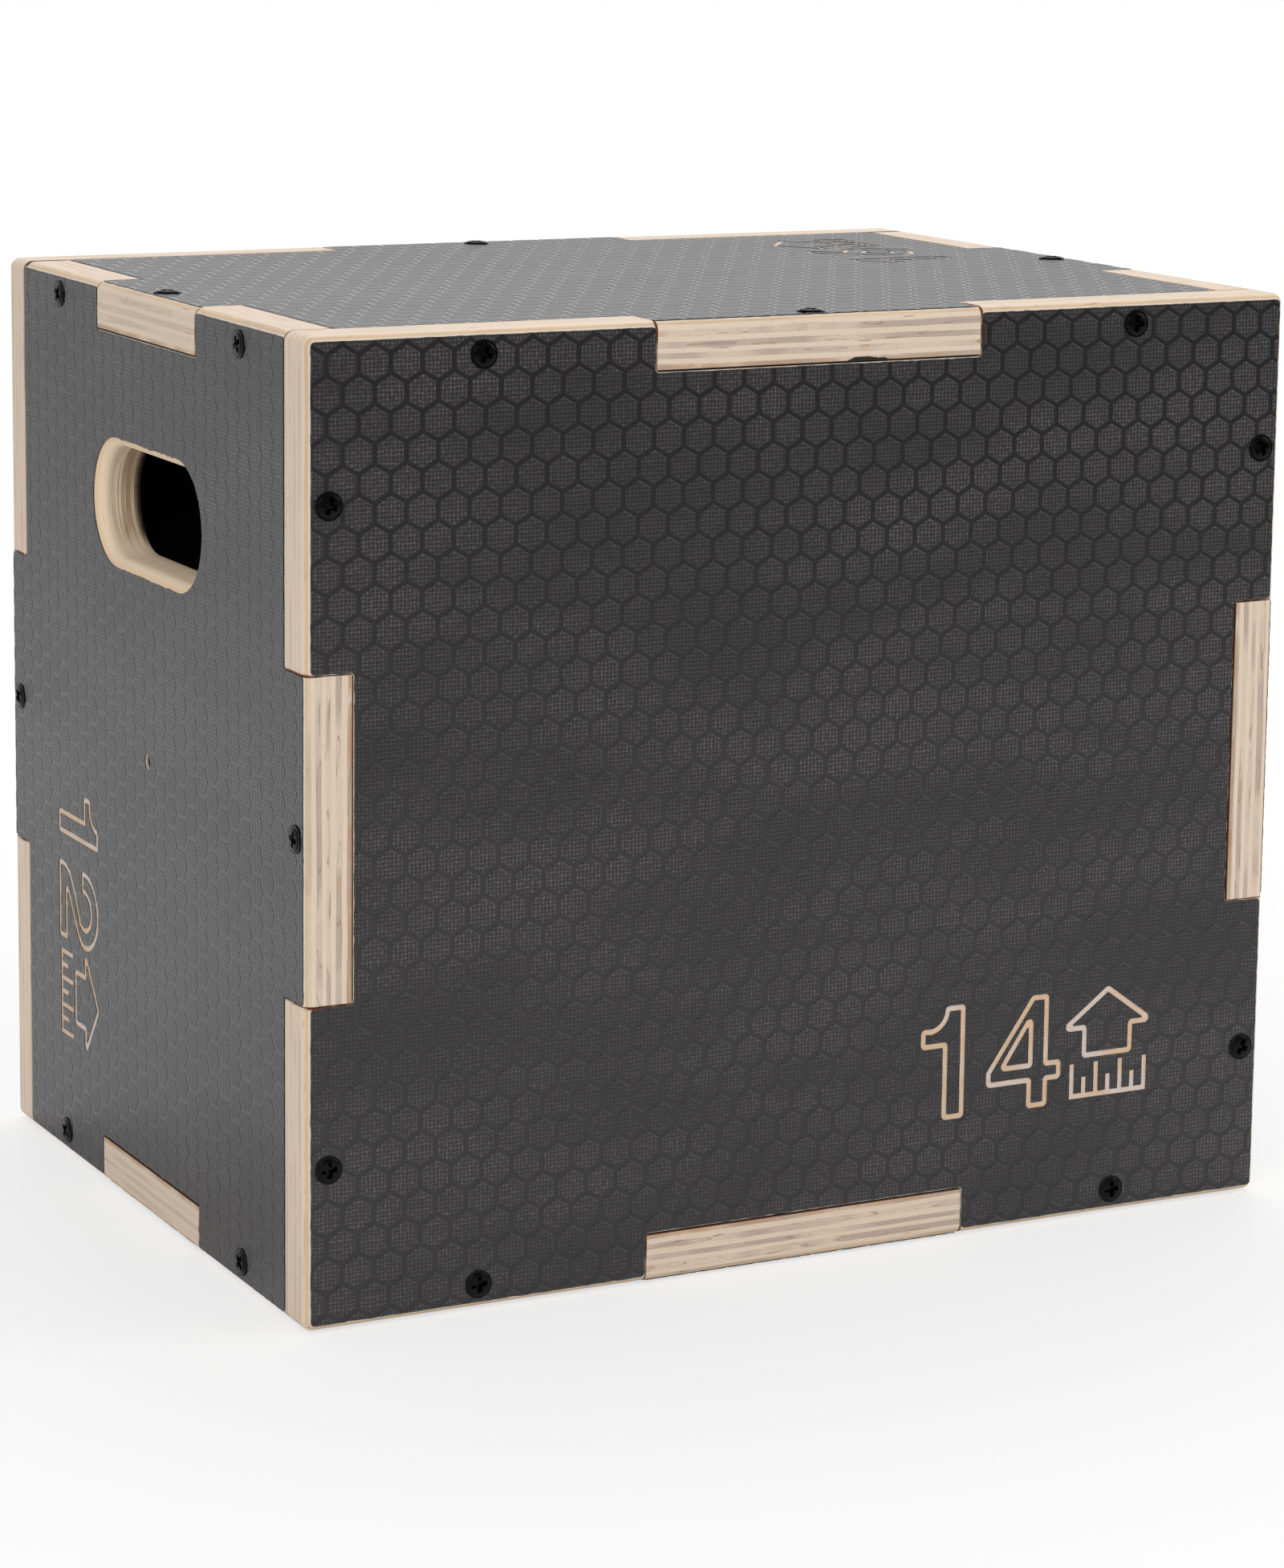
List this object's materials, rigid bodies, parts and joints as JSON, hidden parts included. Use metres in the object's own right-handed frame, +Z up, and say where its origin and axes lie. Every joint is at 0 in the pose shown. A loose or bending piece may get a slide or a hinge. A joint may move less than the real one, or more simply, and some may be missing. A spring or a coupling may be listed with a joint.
{
  "type": "plyo box",
  "caption": "Jump box of dark film-faced plywood panels, finger-jointed along every edge and screwed, with hand-holes in its sides.",
  "frame": {"origin": "middle of the base, in the plane of the bottom screw heads that the box stands on", "axes": "+Z up to the top face, -Y out of the front face, +X along the front to the right"},
  "size_m": [0.4084, 0.3068, 0.3576],
  "materials": {
    "plywood": "sanded bare edge",
    "film": "anti-slip phenolic film with hexagons",
    "liner": "smooth phenolic film",
    "screw": "black"
  },
  "bodies": {
    "root": {"front_panel": "plywood", "front_film": "film", "front_liner": "liner", "front_screw_1": "screw", "front_screw_2": "screw", "front_screw_3": "screw", "front_screw_4": "screw", "front_screw_5": "screw", "front_screw_6": "screw", "front_screw_7": "screw", "front_screw_8": "screw", "back_panel": "plywood", "back_film": "film", "back_liner": "liner", "back_screw_1": "screw", "back_screw_2": "screw", "back_screw_3": "screw", "back_screw_4": "screw", "back_screw_5": "screw", "back_screw_6": "screw", "back_screw_7": "screw", "back_screw_8": "screw", "left_panel": "plywood", "left_film": "film", "left_liner": "liner", "left_screw_1": "screw", "left_screw_2": "screw", "left_screw_3": "screw", "left_screw_4": "screw", "left_screw_5": "screw", "left_screw_6": "screw", "right_panel": "plywood", "right_film": "film", "right_liner": "liner", "right_screw_1": "screw", "right_screw_2": "screw", "right_screw_3": "screw", "right_screw_4": "screw", "right_screw_5": "screw", "right_screw_6": "screw", "top_panel": "plywood", "top_film": "film", "top_liner": "liner", "top_screw_1": "screw", "top_screw_2": "screw", "top_screw_3": "screw", "top_screw_4": "screw", "bottom_panel": "plywood", "bottom_film": "film", "bottom_liner": "liner", "bottom_screw_1": "screw", "bottom_screw_2": "screw", "bottom_screw_3": "screw", "bottom_screw_4": "screw"}
  },
  "joints": []
}
